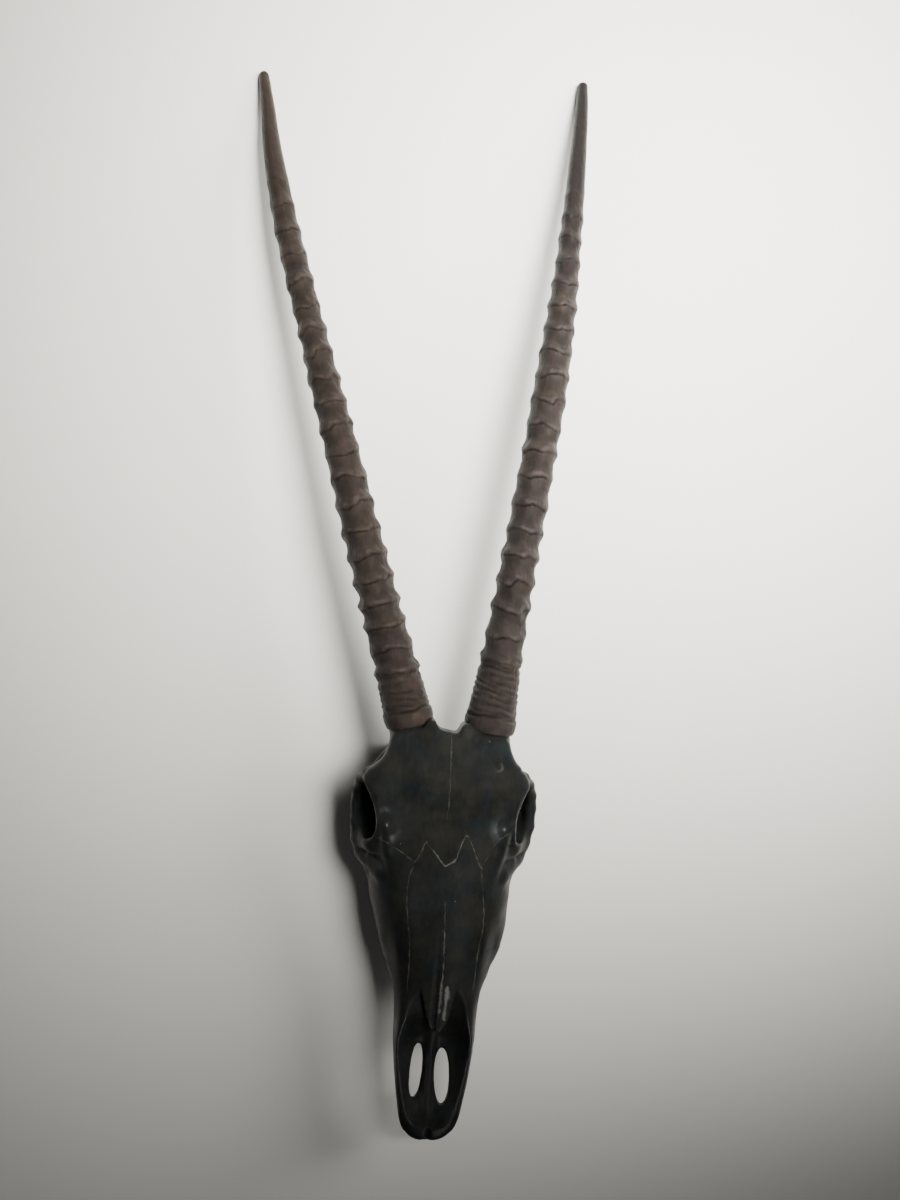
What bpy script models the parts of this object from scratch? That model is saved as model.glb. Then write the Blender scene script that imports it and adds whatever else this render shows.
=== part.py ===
"""Gemsbok skull with its pair of ringed horns and its upper cheek teeth, lying face up.

The object is described in millimetres in the skull's own frame: x = 0 is the midline, y = 0 the bony ridge
between the horns, z = 0 the surface that it lies on. The nose points to -y, the horn tips to +y, and the face
looks up. All pieces then hang from one empty, which sets the middle of the whole footprint at the origin.

The skull is one solid field: a number at every point of space, negative in the bone. Rounded masses are joined
with fillets, hollows are taken out, and the surface is found on a grid. The horns are tubes along a Bezier
curve whose radius swells at every ring. The teeth are lobed columns set in sockets.
"""
import math

import bmesh
import bpy
from mathutils import Matrix, Vector

MM = 0.001

# ---- driving dimensions, in millimetres ---------------------------------------------------------------------
RIDGE_PLACE = (43.2, -118.9)  # of the skull's frame, so that the footprint's middle is at the origin
SKULL_LENGTH = 366.5          # ridge to the tip of the premaxillae
ORBIT_MIDDLE = (67, -71, 98)  # of an eye socket's opening
ORBIT_RADII = (36, 25, 19.5)  # depth, half length and half height of the socket
ORBIT_TILT = 23               # degrees that the socket looks up from straight sideways
ORBIT_WALL = 4                # bone around the socket
VOXEL = 2.4                   # grid on which the skull's surface is found
SKULL_TRIANGLES = 4600        # kept of that surface, before the seats and sockets are cut

# Each horn follows a Bezier curve from the middle of its base to its tip.
HORNS = {
    "horn_left": ((-34.4, 3.2, 97.7), (-85.4, 198, 106.7), (-154.5, 369.4, 74.8), (-194, 596, 3.3)),
    "horn_right": ((34, 0.1, 97.5), (57.6, 188.1, 108.2), (96.8, 384.1, 73.2), (105.5, 604, 3.3)),
}
HORN_SIDES = 12
HORN_GAP = 0.3                # between a sheath's end and the bone that it sits on
HORN_SWAY = ((0, 0), (14, 0), (60, -1), (130, -2), (220, -0.8), (310, 0.2), (400, -0.4), (500, -2), (580, 0), (630, 0.6))
HORN_RADII = ((0, 20.2), (4, 21.6), (10, 22.2), (14, 21.8), (20, 20.7), (28, 20.1), (45, 19.2), (60, 18.3), (80, 17.8),
              (108, 17.1), (160, 16.4), (238, 15.2), (308, 14.4), (360, 13.0), (400, 12.2), (443, 11.0), (480, 10.1),
              (513, 9.0), (540, 8.1), (564, 7.1), (585, 6.3), (600, 5.7), (614, 4.9), (625, 4.2))  # without the rings
FOOT = (0, 4, 10, 14, 20, 28, 36)  # distances from the base that shape the rim of a sheath's foot
RINGS = 20
RING_MARKS = {                # distance from the base of the ring crests 0, 5, 10, 15 and 19
    "horn_left": (50.6, 150, 268, 379, 481),
    "horn_right": (64.5, 178, 296, 407, 498),
}
RING_SIZE = ((0, 1.1), (100, 1.3), (200, 1.05), (300, 0.95), (420, 0.85), (520, 0.7))  # crest over the mean radius
TIP = (110, 80, 50, 25, 10)   # distances from the tip that shape its last smooth part

# The upper cheek teeth of one side, front to back: size across the row, size along the row, lobes.
TEETH = (
    ("premolar_2", 9.5, 11.5, 1),
    ("premolar_3", 11.5, 13.5, 1),
    ("premolar_4", 13.5, 14.5, 1),
    ("molar_1", 15, 19.5, 2),
    ("molar_2", 16, 23, 2),
    ("molar_3", 15.5, 25, 2),
)
ROW_FRONT = -229.5            # y of the front end of the tooth row
ROW_OUTWARD = (29.5, 36)      # distance of the row from the midline, at its front end and at its back
ROW_SLOPE = 0.34              # how much the biting line rises towards the nose
ROW_END_HEIGHT = 0.8          # of the last molar's back edge, above the surface
CROWN_HEIGHT = 13             # how far a crown stands out of the bone
ROOT_DEPTH = 8                # how deep a tooth is set in the bone
TOOTH_GAP = 0.35              # between a tooth and its socket, and between neighbours


# ---- scene --------------------------------------------------------------------------------------------------
for old in list(bpy.data.objects):
    bpy.data.objects.remove(old)

parts = bpy.data.collections.new("gemsbok_skull")
cutters = bpy.data.collections.new("cutters")
bpy.context.scene.collection.children.link(parts)
bpy.context.scene.collection.children.link(cutters)

ridge = bpy.data.objects.new("ridge", None)
ridge.location = (RIDGE_PLACE[0] * MM, RIDGE_PLACE[1] * MM, 0)
parts.objects.link(ridge)


def material(name, colour, roughness):
    """A Principled material of one colour."""
    made = bpy.data.materials.new(name)
    made.use_nodes = True
    shader = made.node_tree.nodes["Principled BSDF"]
    shader.inputs["Base Color"].default_value = (*colour, 1)
    shader.inputs["Roughness"].default_value = roughness
    shader.inputs["Metallic"].default_value = 0
    return made


def add_part(name, data, finish):
    """Links one piece of the object under the ridge."""
    made = bpy.data.objects.new(name, data)
    data.materials.append(finish)
    parts.objects.link(made)
    made.parent = ridge
    return made


def add_cutter(name, data):
    """Links a shape that is cut out of the skull."""
    made = bpy.data.objects.new(name, data)
    cutters.objects.link(made)
    made.parent = ridge
    made.hide_render = True
    made.display_type = "WIRE"
    return made


def mesh_from(name, shape):
    """Turns a bmesh into a mesh."""
    made = bpy.data.meshes.new(name)
    shape.to_mesh(made)
    shape.free()
    return made


# ---- fields -------------------------------------------------------------------------------------------------
skull_tree = bpy.data.node_groups.new("skull_shape", "GeometryNodeTree")
skull_tree.interface.new_socket("Geometry", in_out="OUTPUT", socket_type="NodeSocketGeometry")


class Field:
    """A number or a vector at every point of space. Operators on it add Math or Vector Math nodes."""

    def __init__(self, socket):
        self.socket = socket

    def math(self, operation, *values):
        kind = "ShaderNodeVectorMath" if self.socket.type == "VECTOR" else "ShaderNodeMath"
        return Field(node(kind, *values, operation=operation).outputs[0])

    def __add__(self, other):
        return self.math("ADD", self, other)

    def __radd__(self, other):
        return self.math("ADD", other, self)

    def __sub__(self, other):
        return self.math("SUBTRACT", self, other)

    def __rsub__(self, other):
        return self.math("SUBTRACT", other, self)

    def __mul__(self, other):
        return self.math("MULTIPLY", self, other)

    def __rmul__(self, other):
        return self.math("MULTIPLY", other, self)

    def __truediv__(self, other):
        return self.math("DIVIDE", self, other)

    def __rtruediv__(self, other):
        return self.math("DIVIDE", other, self)

    def __pow__(self, exponent):
        return self.math("POWER", self, exponent)

    def __neg__(self):
        return self.math("MULTIPLY", self, -1)

    def __abs__(self):
        return self.math("ABSOLUTE", self)

    def above(self, other):
        """The larger of two numbers."""
        return self.math("MAXIMUM", self, other)

    def below(self, other):
        """The smaller of two numbers."""
        return self.math("MINIMUM", self, other)

    def dot(self, other):
        return Field(node("ShaderNodeVectorMath", self, other, operation="DOT_PRODUCT").outputs["Value"])

    def length(self):
        return Field(node("ShaderNodeVectorMath", self, operation="LENGTH").outputs["Value"])

    def turned(self, degrees):
        """The vector turned about the y axis."""
        turn = node("ShaderNodeVectorRotate", self, rotation_type="Y_AXIS")
        turn.inputs["Angle"].default_value = math.radians(degrees)
        return Field(turn.outputs[0])


def node(kind, *values, **settings):
    """Adds a node with its settings, gives its sockets values or links in order, and returns it."""
    made = skull_tree.nodes.new(kind)
    for setting, value in settings.items():
        setattr(made, setting, value)
    for socket, value in zip(made.inputs, values):
        if isinstance(value, Field):
            skull_tree.links.new(value.socket, socket)
        else:
            socket.default_value = value
    return made


def union(*solids, blend=0.0):
    """Joins solids, with a fillet of about this size where they meet."""
    joined = solids[0]
    for solid in solids[1:]:
        joined = joined.math("SMOOTH_MIN", joined, solid, blend)
    return joined


def common(first, second, blend=0.0):
    """What two solids share, with its edges rounded."""
    return first.math("SMOOTH_MAX", first, second, blend)


def cut(solid, hollow, blend=0.0):
    """Takes a hollow out of a solid, and rounds the hollow's edge."""
    return common(solid, -hollow, blend)


def profile(along, points):
    """A smooth curve through points (place, value), read at a field."""
    low, high = points[0][0], points[-1][0]
    values = [value for place, value in points]
    base, span = min(values), max(values) - min(values)
    made = node("ShaderNodeFloatCurve", 1.0, ((along - low) / (high - low)).above(0).below(1))
    curve = made.mapping.curves[0]
    while len(curve.points) < len(points):
        curve.points.new(0.5, 0.5)
    for point, (place, value) in zip(curve.points, points):
        point.location = ((place - low) / (high - low), (value - base) / span)
    made.mapping.update()
    return Field(made.outputs[0]) * span + base


def ball(centre, radii, where, tilt=0):
    """An ellipsoid, turned about y so that its outer end looks up by some degrees."""
    offset = (where - centre).turned(tilt)
    reach = (offset / radii).length()
    slope = (offset / [radius * radius for radius in radii]).length()
    return reach * (reach - 1) / slope.above(1e-4)


def limb(points, where, blend=0.0):
    """A rounded bar through points (x, y, z, radius), which tapers from each point to the next."""
    bars = []
    for start, end in zip(points, points[1:]):
        axis = Vector(end[:3]) - Vector(start[:3])
        offset = where - start[:3]
        along = (offset.dot(axis) / axis.length_squared).above(0).below(1)
        nearest = Field(node("ShaderNodeCombineXYZ", *(along * part for part in axis)).outputs[0])
        bars.append((offset - nearest).length() - (along * (end[3] - start[3]) + start[3]))
    return union(*bars, blend=blend)


def barrel(outward, half_width, top, widest, bottom, squareness):
    """A bar along y: each section is a rounded box about the height where it is widest."""
    upper = top - widest
    lower = widest - bottom
    is_upper = z.math("GREATER_THAN", z, widest)
    height = lower + is_upper * (upper - lower)
    outward = outward / half_width + 1e-3
    upward = abs(z - widest) / height + 1e-3
    reach = (outward ** squareness + upward ** squareness) ** (1 / squareness)
    slope_across = outward ** (squareness - 1) / half_width
    slope_up = upward ** (squareness - 1) / height
    slope = (slope_across * slope_across + slope_up * slope_up) ** 0.5 * reach ** (1 - squareness)
    return (reach - 1) / slope


def moved(across, along, height):
    """A point given by its three parts."""
    return Field(node("ShaderNodeCombineXYZ", across, along, height).outputs[0])


position = Field(node("GeometryNodeInputPosition").outputs[0])
x, y, z = (Field(output) for output in node("ShaderNodeSeparateXYZ", position).outputs)
narrower = profile(y, [  # how much narrower the right cheek and orbit are than the left
    (-190, 0), (-150, 0.02), (-126, 0.06), (-105, 0.065), (-84, 0.03), (-56, 0.03), (-44, 0.04), (-37, 0.055),
    (-28, 0.01), (-20, 0)])
extra = x.above(0) * narrower * ((z - 45) / 15).above(0).below(1)
across = abs(x) + extra
side = moved(across, y, z)    # a point folded onto the left half


# ---- the skull ----------------------------------------------------------------------------------------------
def biting_height(along):
    """Height of the teeth's biting line above the surface, at a place along the skull."""
    row_length = sum(length + TOOTH_GAP for name, width, length, lobes in TEETH)
    return (ROW_FRONT + row_length - along) * ROW_SLOPE + ROW_END_HEIGHT


def face(muzzle, half_width):
    """Nasals, maxillae and premaxillae: one long barrel, stepped in front of the cheek teeth."""
    top = profile(y, [
        (-366, 77), (-335, 84), (-300, 90), (-262, 99), (-232, 105), (-196, 113), (-151, 119.5), (-120, 123),
        (-92, 125.5), (-70, 126)])
    widest = profile(y, [(-366, 71), (-300, 76), (-245, 75), (-220, 67), (-190, 64), (-120, 64), (-70, 72)])
    bottom = profile(y, [
        (-366, 64), (-300, 65), (-270, 63), (-240, 60), (-210, 56), (-160, 42), (-125, 33), (-100, 34),
        (-70, 40)])
    squareness = profile(y, [(-366, 2.6), (-262, 2.8), (-215, 2.3), (-70, 2.3)])
    body = barrel(muzzle, half_width, top, widest, bottom, squareness)
    body = common(body, y + 74, blend=8)
    return common(body, -SKULL_LENGTH - y, blend=9)


def forehead():
    """The frontal bones: a broad roof that overhangs the orbits and ends in a notch between the horns."""
    half_width = profile(y, [
        (-140, 44), (-120, 50), (-100, 55), (-85, 58), (-75, 60), (-60, 65), (-50, 70), (-42, 73), (-36, 71),
        (-30, 64.5), (-20, 55.5), (-10, 52), (0, 50)])
    top = profile(y, [
        (-140, 110), (-115, 120.5), (-92, 125), (-56, 127), (-23, 124.5), (-8, 122.5), (8, 120.5)])
    edge = top - 14
    roof = barrel(across, half_width, top, edge, edge - 15, 3.2)
    notch = profile(x, [
        (-46, -3), (-34, 1), (-24, 5), (-16.5, 10.5), (-11.5, 5), (-7, 2), (-1, 0.8), (4, 0), (8, 3), (12.5, 8),
        (22, 4), (34, -1), (46, -5)])
    roof = common(roof, y - notch, blend=6)
    return common(roof, -134 - y, blend=12)


def braincase():
    """The rounded box behind and below the orbits, with the crests and processes of the skull's base."""
    vault = ball((0, -50, 74), (45, 43, 42), side)
    middle = ball((0, -92, 76), (37, 36, 40), side)
    sinus = ball((44, -100, 62), (22, 26, 19), side)
    base = limb([(0, -22, 36, 13), (0, -80, 42, 10)], side)
    crest = limb([(0, -14, 106, 7), (27, -14, 104, 7), (43, -20, 92, 7), (46, -24, 62, 8)], side, blend=3)
    ear_capsule = ball((25, -47, 30), (10, 14, 12), side)
    ear_tube = limb([(34, -42, 52, 8), (51, -37, 57, 6)], side)
    process = limb([(38, -21, 58, 10), (41, -22, 36, 7.5), (40.5, -25, 14, 5.6), (38.5, -29, -8, 4.4)], side, blend=4)
    condyle = ball((21, -21, 36), (12, 11, 14), side)
    throat_plate = ball((15.5, -96, 34), (4, 20, 20), side)
    return union(vault, middle, sinus, base, crest, ear_capsule, ear_tube, process, condyle, throat_plate, blend=6)


def tooth_rows():
    """The ridges of bone that hold the cheek teeth, cut off along the gum line."""
    rows = limb([
        (34, -112, 26, 10.5), (36, -135, 33, 11.5), (35, -165, 43, 11.5), (33, -195, 52, 10), (30, -230, 62, 8)],
        side, blend=4)
    return common(rows, biting_height(y) + CROWN_HEIGHT - z, blend=2)


def palate():
    """The vault between the tooth rows, as a hollow."""
    half_width = profile(y, [(-250, 14), (-225, 21), (-200, 24), (-160, 26), (-105, 26)])
    top = profile(y, [(-260, 60), (-225, 61), (-200, 55), (-160, 46), (-115, 40), (-100, 36)])
    return common(barrel(across, half_width, top, top - 12, top - 140, 2.4), -262 - y, blend=8)


def cheekbones():
    """The cheek in front of and under the orbit, and the arch behind it."""
    upper = limb([(46, -104, 106, 12), (60, -99, 96, 10), (71, -99, 80, 8)], side, blend=6)
    front = limb([(50, -122, 94, 12), (64.5, -114, 79, 9.5)], side)
    lower = limb([(56, -132, 62, 9), (67, -113, 70, 9), (73, -98, 74, 8)], side, blend=4)
    shelf = limb([(66, -106, 62, 8), (68, -84, 60, 7), (70, -64, 62, 6)], side, blend=3)
    arch = limb([(76, -57, 71, 5), (65, -43, 66, 5), (53, -31, 60, 6), (44, -24, 58, 7)], side, blend=3)
    return union(upper, front, lower, shelf, arch, blend=8)


def pedicle(curve):
    """The stump of bone that carries a horn."""
    root = Vector(curve[0])
    lean = (Vector(curve[1]) - root).normalized()
    points = [(*(root + lean * place), radius) for place, radius in ((-45, 24), (-12, 19.6), (5, 18))]
    return limb(points, position)


def dent(centre, radii, depth):
    """A shallow hollow in a surface, the same on both sides."""
    reach = ((side - centre) / radii).length()
    return (1 - reach * reach).above(0) ** 2 * depth


def with_orbits(solid):
    """The eye sockets: cups under the brow, each with a thick rounded bar as its outer rim."""
    cup = ball(ORBIT_MIDDLE, [radius + ORBIT_WALL for radius in ORBIT_RADII], side, tilt=ORBIT_TILT)
    cup = common(cup, (side - ORBIT_MIDDLE).turned(ORBIT_TILT).dot((1, 0, 0)) - 2, blend=4)
    upper_part = ((z - 93) / 21).above(0).below(1)
    skewed = moved(across - (y + 65) * upper_part * 0.22, y, z)
    solid = cut(union(solid, cup, blend=6), ball(ORBIT_MIDDLE, ORBIT_RADII, skewed, tilt=ORBIT_TILT), blend=2)
    bar = limb([
        (69, -112, 73, 8), (74.4, -99, 77, 6.5), (76.8, -84, 79, 5.6), (77.4, -68, 80, 5.5), (76.8, -56, 85, 5.2),
        (74.2, -45, 95, 5), (69.5, -38, 107, 5)], side, blend=4)
    return union(solid, bar, blend=5)


def nasal_cavity(muzzle, half_width):
    """The smooth trough in front of the nasals, which overhang it, and the passage behind it."""
    floor = profile(y, [
        (-366, 93), (-358, 84), (-350, 78), (-334, 74), (-300, 71.5), (-280, 73.5), (-266, 80), (-252, 89),
        (-238, 96), (-226, 103), (-214, 111), (-200, 125)])
    rise = profile(y, [(-366, 4), (-334, 11), (-300, 14), (-262, 14), (-243, 10), (-225, 7), (-200, 6)])
    trough = (floor + (muzzle / (half_width - 4)) ** 3.2 * rise - z) * 0.8
    nasal_edge = profile(across, [
        (0, -263), (5, -260), (9.5, -250), (12.5, -238), (15.5, -225), (19, -213), (24, -204), (34, -200)])
    mouth = common(trough, y - nasal_edge, blend=2)
    passage = limb([
        (0, -262, 84, 4), (0, -236, 82, 6), (0, -205, 84, 10), (0, -180, 84, 16), (0, -140, 78, 20),
        (0, -112, 58, 14), (0, -102, 46, 12), (0, -84, 20, 10)], side, blend=3)
    return union(mouth, passage, blend=1)


def skull_field():
    """The whole bone: masses joined front to back, then the hollows, then what stands in them."""
    bend = profile(y, [
        (-366, -3), (-350, -2.5), (-310, -1.6), (-285, -1.2), (-262, -0.7), (-235, -0.2), (-212, 0.9), (-190, 0)])
    muzzle = abs(x - bend) + extra
    half_width = profile(y, [
        (-366, 11.5), (-360, 18.8), (-350, 25.2), (-330, 29.4), (-305, 33), (-278, 35.7), (-245, 37),
        (-232, 38.8), (-220, 43.2), (-208, 47.6), (-190, 53), (-160, 60), (-138, 64), (-120, 64.5), (-100, 60),
        (-70, 44)])
    solid = union(face(muzzle, half_width), forehead(), blend=10)
    solid = union(solid, braincase(), blend=9)
    solid = union(solid, tooth_rows(), blend=6)
    solid = cut(solid, palate(), blend=4)
    solid = union(solid, cheekbones(), blend=9)
    for curve in HORNS.values():
        solid = union(solid, pedicle(curve), blend=8)
    solid = solid + dent((34, 4, 122), (24, 20, 14), 3.2)
    solid = with_orbits(solid)
    solid = cut(solid, nasal_cavity(muzzle, half_width), blend=2)
    septum = [(-1, -252, 77, 5), (-3.5, -290, 69.5, 4.5), (-5.5, -350, 71, 5)]
    solid = union(solid, limb(septum, position), blend=5)
    tip_notch = limb([(-5.8, -368.5, 50, 2.4), (-5.8, -368.5, 90, 2.4)], position)
    solid = cut(solid, tip_notch, blend=2)
    left_slot = ball((-15.3, -305, 66), (5.5, 25, 60), moved(x - (y + 305) * 0.055, y, z))
    right_slot = ball((8, -310, 66), (6.7, 25.6, 60), moved(x + (y + 310) * 0.03, y, z))
    solid = cut(solid, union(left_slot, right_slot), blend=2)
    brain = ball((0, -50, 74), (35, 34, 32), side)
    solid = cut(solid, brain, blend=2)
    foramen_magnum = limb([(0, 12, 40, 12.5), (0, -35, 56, 13)], side)
    return cut(solid, foramen_magnum, blend=3)


def skull_object(finish):
    """Finds the skull's surface on the grid, thins its faces, and cuts the seats and sockets into it."""
    low = (-94, -374, -8)
    high = (94, 26, 134)
    counts = [round((far - near) / VOXEL) for near, far in zip(low, high)]
    grid = node("GeometryNodeVolumeCube", -skull_field(), -1.0, low, high, *counts)
    surface = node("GeometryNodeVolumeToMesh", Field(grid.outputs[0]))
    surface.inputs["Threshold"].default_value = 0
    metres = node("GeometryNodeTransform", Field(surface.outputs[0]))
    metres.inputs["Scale"].default_value = (MM, MM, MM)
    node("NodeGroupOutput", Field(metres.outputs[0]))

    made = add_part("skull", bpy.data.meshes.new("skull"), finish)
    made.modifiers.new("shape", "NODES").node_group = skull_tree
    found = made.evaluated_get(bpy.context.evaluated_depsgraph_get()).data
    found.calc_loop_triangles()
    thin = made.modifiers.new("thin", "DECIMATE")
    thin.ratio = SKULL_TRIANGLES / len(found.loop_triangles)
    cuts = made.modifiers.new("seats_and_sockets", "BOOLEAN")
    cuts.operation = "DIFFERENCE"
    cuts.solver = "EXACT"
    cuts.operand_type = "COLLECTION"
    cuts.collection = cutters


def ground_cutter():
    """Flattens the ends of the two processes that the skull rests on."""
    shape = bmesh.new()
    bmesh.ops.create_cube(shape, size=1)
    bmesh.ops.scale(shape, vec=(0.4, 0.4, 0.04), verts=shape.verts)
    bmesh.ops.translate(shape, vec=(0, 0, -0.02), verts=shape.verts)
    add_cutter("ground", mesh_from("ground", shape))


# ---- the horns ----------------------------------------------------------------------------------------------
def table_value(table, place):
    """Straight interpolation in a short table of (place, value)."""
    for (start, first), (end, last) in zip(table, table[1:]):
        if place <= end:
            return first + (last - first) * (place - start) / (end - start)
    return table[-1][1]


def horn_course(curve, steps=600):
    """Points of a horn's curve, each with its distance from the base."""
    course = []
    travelled = 0.0
    for step in range(steps + 1):
        t = step / steps
        weights = ((1 - t) ** 3, 3 * (1 - t) ** 2 * t, 3 * (1 - t) * t ** 2, t ** 3)
        point = sum((Vector(corner) * weight for corner, weight in zip(curve, weights)), Vector())
        if course:
            travelled += (point - course[-1][1]).length
        course.append((travelled, point))
    return course


def ring_place(marks, number):
    """Distance from the base of a ring's crest. Whole numbers are crests, and halves are the grooves between."""
    crests = tuple(zip((0, 5, 10, 15, 19), marks))
    if number < 0:
        return marks[0] + number * (marks[1] - marks[0]) / 5
    return table_value(crests, number)


def horn_stations(marks, length):
    """(distance, radius) along a horn: the foot, ring crests with wide grooves between them, a smooth tip."""
    stations = [(place, table_value(HORN_RADII, place)) for place in FOOT]
    for ring in range(RINGS):
        for part, lift in ((-0.64, -0.8), (-0.36, -0.8), (0, 1)):
            place = ring_place(marks, ring + part)
            if stations[-1][0] + 3 < place:
                radius = table_value(HORN_RADII, place) + lift * table_value(RING_SIZE, place)
                stations.append((place, radius))
    for rest in TIP:
        stations.append((length - rest, table_value(HORN_RADII, length - rest)))
    return stations + [(length - 3.5, 4.2), (length - 0.8, 2.5), (length, 1.0)]


def horn_object(name, curve, finish):
    """A horn sheath: a tube along the horn's curve, which sways a little, with a radius at each station."""
    course = horn_course(curve)
    tube = bpy.data.curves.new(name, "CURVE")
    tube.dimensions = "3D"
    tube.bevel_depth = MM
    tube.bevel_resolution = HORN_SIDES // 2 - 2
    tube.use_fill_caps = True
    stations = horn_stations(RING_MARKS[name], course[-1][0])
    spline = tube.splines.new("POLY")
    spline.points.add(len(stations) - 1)
    for point, (place, radius) in zip(spline.points, stations):
        centre = min(course, key=lambda step: abs(step[0] - place))[1]
        sway = Vector((table_value(HORN_SWAY, place), 0, 0))
        point.co = (*((centre + sway) * MM), 1)
        point.radius = radius
    add_part(name, tube, finish)


def horn_seat(name, curve):
    """Cuts the pedicle off flat, a gap below the sheath."""
    course = horn_course(curve)
    root = course[0][1]
    lean = (course[1][1] - root).normalized()
    depth = 40
    shape = bmesh.new()
    bmesh.ops.create_cone(shape, cap_ends=True, segments=24, radius1=34 * MM, radius2=34 * MM, depth=depth * MM)
    middle = Matrix.Translation((root + lean * (depth / 2 - HORN_GAP)) * MM)
    turn = lean.to_track_quat("Z", "Y").to_matrix().to_4x4()
    bmesh.ops.transform(shape, matrix=middle @ turn, verts=shape.verts)
    add_cutter("seat_of_" + name, mesh_from("seat", shape))


# ---- the teeth ----------------------------------------------------------------------------------------------
def column(width, length, lobes, height, margin=0.0):
    """A column with rounded corners, pinched between its lobes: its row runs along y, its foot is at z = 0."""
    half_width = width / 2 + margin
    half_length = length / 2 + margin
    steps = 8 + 4 * lobes
    shape = bmesh.new()
    foot = []
    for step in range(steps):
        angle = math.tau * (step + 0.5) / steps
        outward = math.copysign(abs(math.sin(angle)) ** 0.7, math.sin(angle))
        forward = math.copysign(abs(math.cos(angle)) ** 0.7, math.cos(angle))
        if lobes > 1 and abs(forward) < 0.4:
            outward *= 0.86
        foot.append(shape.verts.new((half_width * outward * MM, half_length * forward * MM, 0)))
    raised = bmesh.ops.extrude_face_region(shape, geom=[shape.faces.new(foot)])
    top = [item for item in raised["geom"] if isinstance(item, bmesh.types.BMVert)]
    bmesh.ops.translate(shape, vec=(0, 0, height * MM), verts=top)
    bmesh.ops.recalc_face_normals(shape, faces=shape.faces)
    return mesh_from("column", shape)


def teeth(finish):
    """Both rows of teeth, and a slightly larger copy of each as the cutter of its socket."""
    height = CROWN_HEIGHT + ROOT_DEPTH
    lean = Matrix.Rotation(-math.atan(ROW_SLOPE), 4, "X")
    front = ROW_FRONT
    for index, (name, width, length, lobes) in enumerate(TEETH):
        middle = front + length / 2
        outward = ROW_OUTWARD[0] + (ROW_OUTWARD[1] - ROW_OUTWARD[0]) * math.sin(math.pi / 2 * index / 4)
        for side_name, hand in (("left", -1), ("right", 1)):
            foot = Vector((hand * outward, middle, biting_height(middle)))
            place = Matrix.Translation(foot * MM) @ lean
            tooth = add_part(f"{name}_{side_name}", column(width, length - TOOTH_GAP, lobes, height), finish)
            tooth.matrix_basis = place
            socket = column(width, length - TOOTH_GAP, lobes, height + TOOTH_GAP, margin=TOOTH_GAP)
            add_cutter(f"socket_of_{name}_{side_name}", socket).matrix_basis = place
        front += length + TOOTH_GAP


bone = material("bone", (0.02, 0.021, 0.022), 0.4)
keratin = material("keratin", (0.09, 0.065, 0.055), 0.55)
tooth_finish = material("blackened_tooth", (0.03, 0.03, 0.03), 0.35)

skull_object(bone)
ground_cutter()
for horn_name, horn_curve in HORNS.items():
    horn_object(horn_name, horn_curve, keratin)
    horn_seat(horn_name, horn_curve)
teeth(tooth_finish)
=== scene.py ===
"""Gemsbok skull with its ringed horns, lying face up on a plain pale floor, seen from above its face.

Measures are in millimetres in the skull's own frame: x = 0 is the midline, y = 0 the bony ridge between the
horns, z = 0 the surface that it lies on. The nose points to -y and the face looks up.
"""
import math

import bpy
import numpy as np
from mathutils import Matrix, Vector


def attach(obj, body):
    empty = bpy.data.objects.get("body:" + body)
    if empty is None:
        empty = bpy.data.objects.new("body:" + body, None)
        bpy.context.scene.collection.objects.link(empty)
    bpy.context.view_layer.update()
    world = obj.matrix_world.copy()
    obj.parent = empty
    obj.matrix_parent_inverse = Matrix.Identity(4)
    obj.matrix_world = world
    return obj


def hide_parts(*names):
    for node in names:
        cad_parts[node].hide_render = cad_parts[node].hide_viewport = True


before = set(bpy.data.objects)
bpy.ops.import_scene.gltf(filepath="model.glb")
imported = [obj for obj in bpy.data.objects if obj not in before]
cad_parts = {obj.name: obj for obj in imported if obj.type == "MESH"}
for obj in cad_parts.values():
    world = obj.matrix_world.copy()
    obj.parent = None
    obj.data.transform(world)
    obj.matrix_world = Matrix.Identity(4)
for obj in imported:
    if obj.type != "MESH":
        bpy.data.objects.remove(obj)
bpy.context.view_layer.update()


# ---- skull ------------------------------------------------------------------------------------------------
# Face, forehead and braincase: one bone, smooth and near-black. It is a solid field, a number at every point
# of space that is negative in the bone: masses joined with fillets, hollows taken out, seams and pits let in.
# The surface is found on a fine grid. A second pass measures how sharp each edge is, for its wear.

MM = 0.001
RIDGE = Vector((43.2, -118.9, 0))  # where the skull's own frame stands on the floor


class Nodes:
    """A node tree that is written as sums of values."""

    def __init__(self, tree):
        self.tree = tree

    def add(self, kind, *values, named=(), **settings):
        """Adds a node. Its inputs take numbers or values, in order or by name."""
        made = self.tree.nodes.new(kind)
        for setting, choice in settings.items():
            setattr(made, setting, choice)
        pairs = list(zip(made.inputs, values))
        pairs += [(made.inputs[name], value) for name, value in dict(named).items()]
        for socket, value in pairs:
            if isinstance(value, Value):
                self.tree.links.new(value.socket, socket)
            elif value is not None:
                socket.default_value = value
        return made

    def get(self, kind, *values, output=0, **rest):
        """Adds a node and returns one of its outputs."""
        return Value(self, self.add(kind, *values, **rest).outputs[output])

    def vector(self, *parts):
        return self.get("ShaderNodeCombineXYZ", *parts)

    def noise(self, where, size, detail=2.0, roughness=0.5):
        """Smooth random values, about -0.5 to 0.5, in lumps of about this size."""
        named = {"Vector": where * (1 / size), "Scale": 1.0, "Detail": detail, "Roughness": roughness}
        return self.get("ShaderNodeTexNoise", named=named) - 0.5

    def mix(self, factor, first, second):
        """A colour between two others."""
        made = self.add("ShaderNodeMix", factor, data_type="RGBA")
        for socket, colour in ((made.inputs[6], first), (made.inputs[7], second)):
            if isinstance(colour, Value):
                self.tree.links.new(colour.socket, socket)
            else:
                socket.default_value = (*colour, 1)
        return Value(self, made.outputs[2])


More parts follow.
